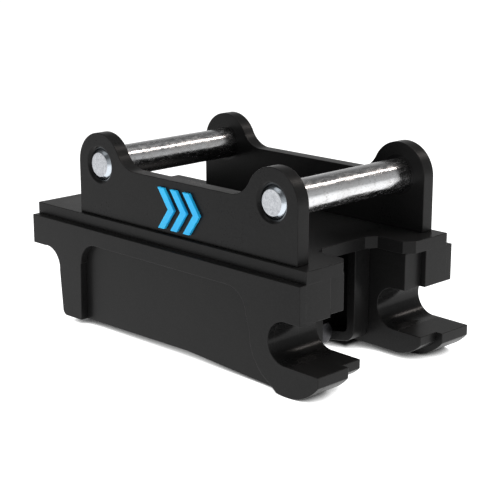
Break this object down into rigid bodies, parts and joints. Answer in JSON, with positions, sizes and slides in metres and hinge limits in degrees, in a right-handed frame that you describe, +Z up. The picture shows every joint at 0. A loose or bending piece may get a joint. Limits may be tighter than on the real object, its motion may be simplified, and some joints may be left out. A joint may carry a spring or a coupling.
{
  "type": "quick coupler",
  "caption": "Heavy-equipment quick coupler: black welded box with two bare steel cross pins between upright ears on top, open pin hooks in front and screw-drawn lock bolts at the rear.",
  "frame": {"origin": "centre of the bounding box at the ground, under the hooks", "axes": "+X forward, the way the hooks open; +Y left; +Z up"},
  "size_m": [0.51, 0.268, 0.253],
  "materials": {
    "black_paint": "semi-gloss black paint",
    "bare_steel": "bare turned steel, mottled",
    "bronze": "machined bronze",
    "seal_rubber": "matt black",
    "zinc_steel": "zinc plated",
    "spring_steel": "oiled spring steel",
    "badge_blue": "gloss sky blue"
  },
  "bodies": {
    "frame": {"top_plate": "black_paint", "left_ear": "black_paint", "right_ear": "black_paint", "front_pin": "bare_steel", "rear_pin": "bare_steel", "left_hook_plate": "black_paint", "right_hook_plate": "black_paint", "left_side_plate": "black_paint", "right_side_plate": "black_paint", "left_inner_plate": "black_paint", "right_inner_plate": "black_paint", "left_front_wrap": "black_paint", "right_front_wrap": "black_paint", "rear_crossmember": "black_paint", "mid_crossmember": "black_paint", "thrust_plate": "black_paint", "left_bolt_bush": "bronze", "right_bolt_bush": "bronze", "left_bolt_wiper": "seal_rubber", "right_bolt_wiper": "seal_rubber", "spindle_bush": "bronze", "thrust_washers": "zinc_steel", "lock_spring": "spring_steel", "bottom_cover": "black_paint", "cover_lugs": "black_paint", "cover_screws": "zinc_steel", "grease_nipples": "zinc_steel", "badge": "badge_blue"},
    "lock_carriage": {"left_lock_bolt": "bare_steel", "right_lock_bolt": "bare_steel", "crosshead": "zinc_steel", "bolt_washers": "zinc_steel", "bolt_nuts": "zinc_steel", "spindle_nut": "bronze", "spring_seat": "zinc_steel"},
    "spindle": {"spindle": "bare_steel", "spindle_collar": "zinc_steel", "collar_pin": "zinc_steel"}
  },
  "joints": [
    {"name": "spindle_turn", "type": "hinge", "parent": "frame", "child": "spindle", "pos_m": [0.0954, 0, 0.0297], "axis": [1, 0, 0], "range_deg": [0, 2881]},
    {"name": "lock_slide", "type": "slide", "parent": "frame", "child": "lock_carriage", "axis": [1, 0, 0], "range_m": [0, 0.048], "deforming": ["lock_spring"]}
  ],
  "couplings": [
    {"joint": "spindle_turn", "follows": "lock_slide", "rad_per_m": 1047.2}
  ]
}
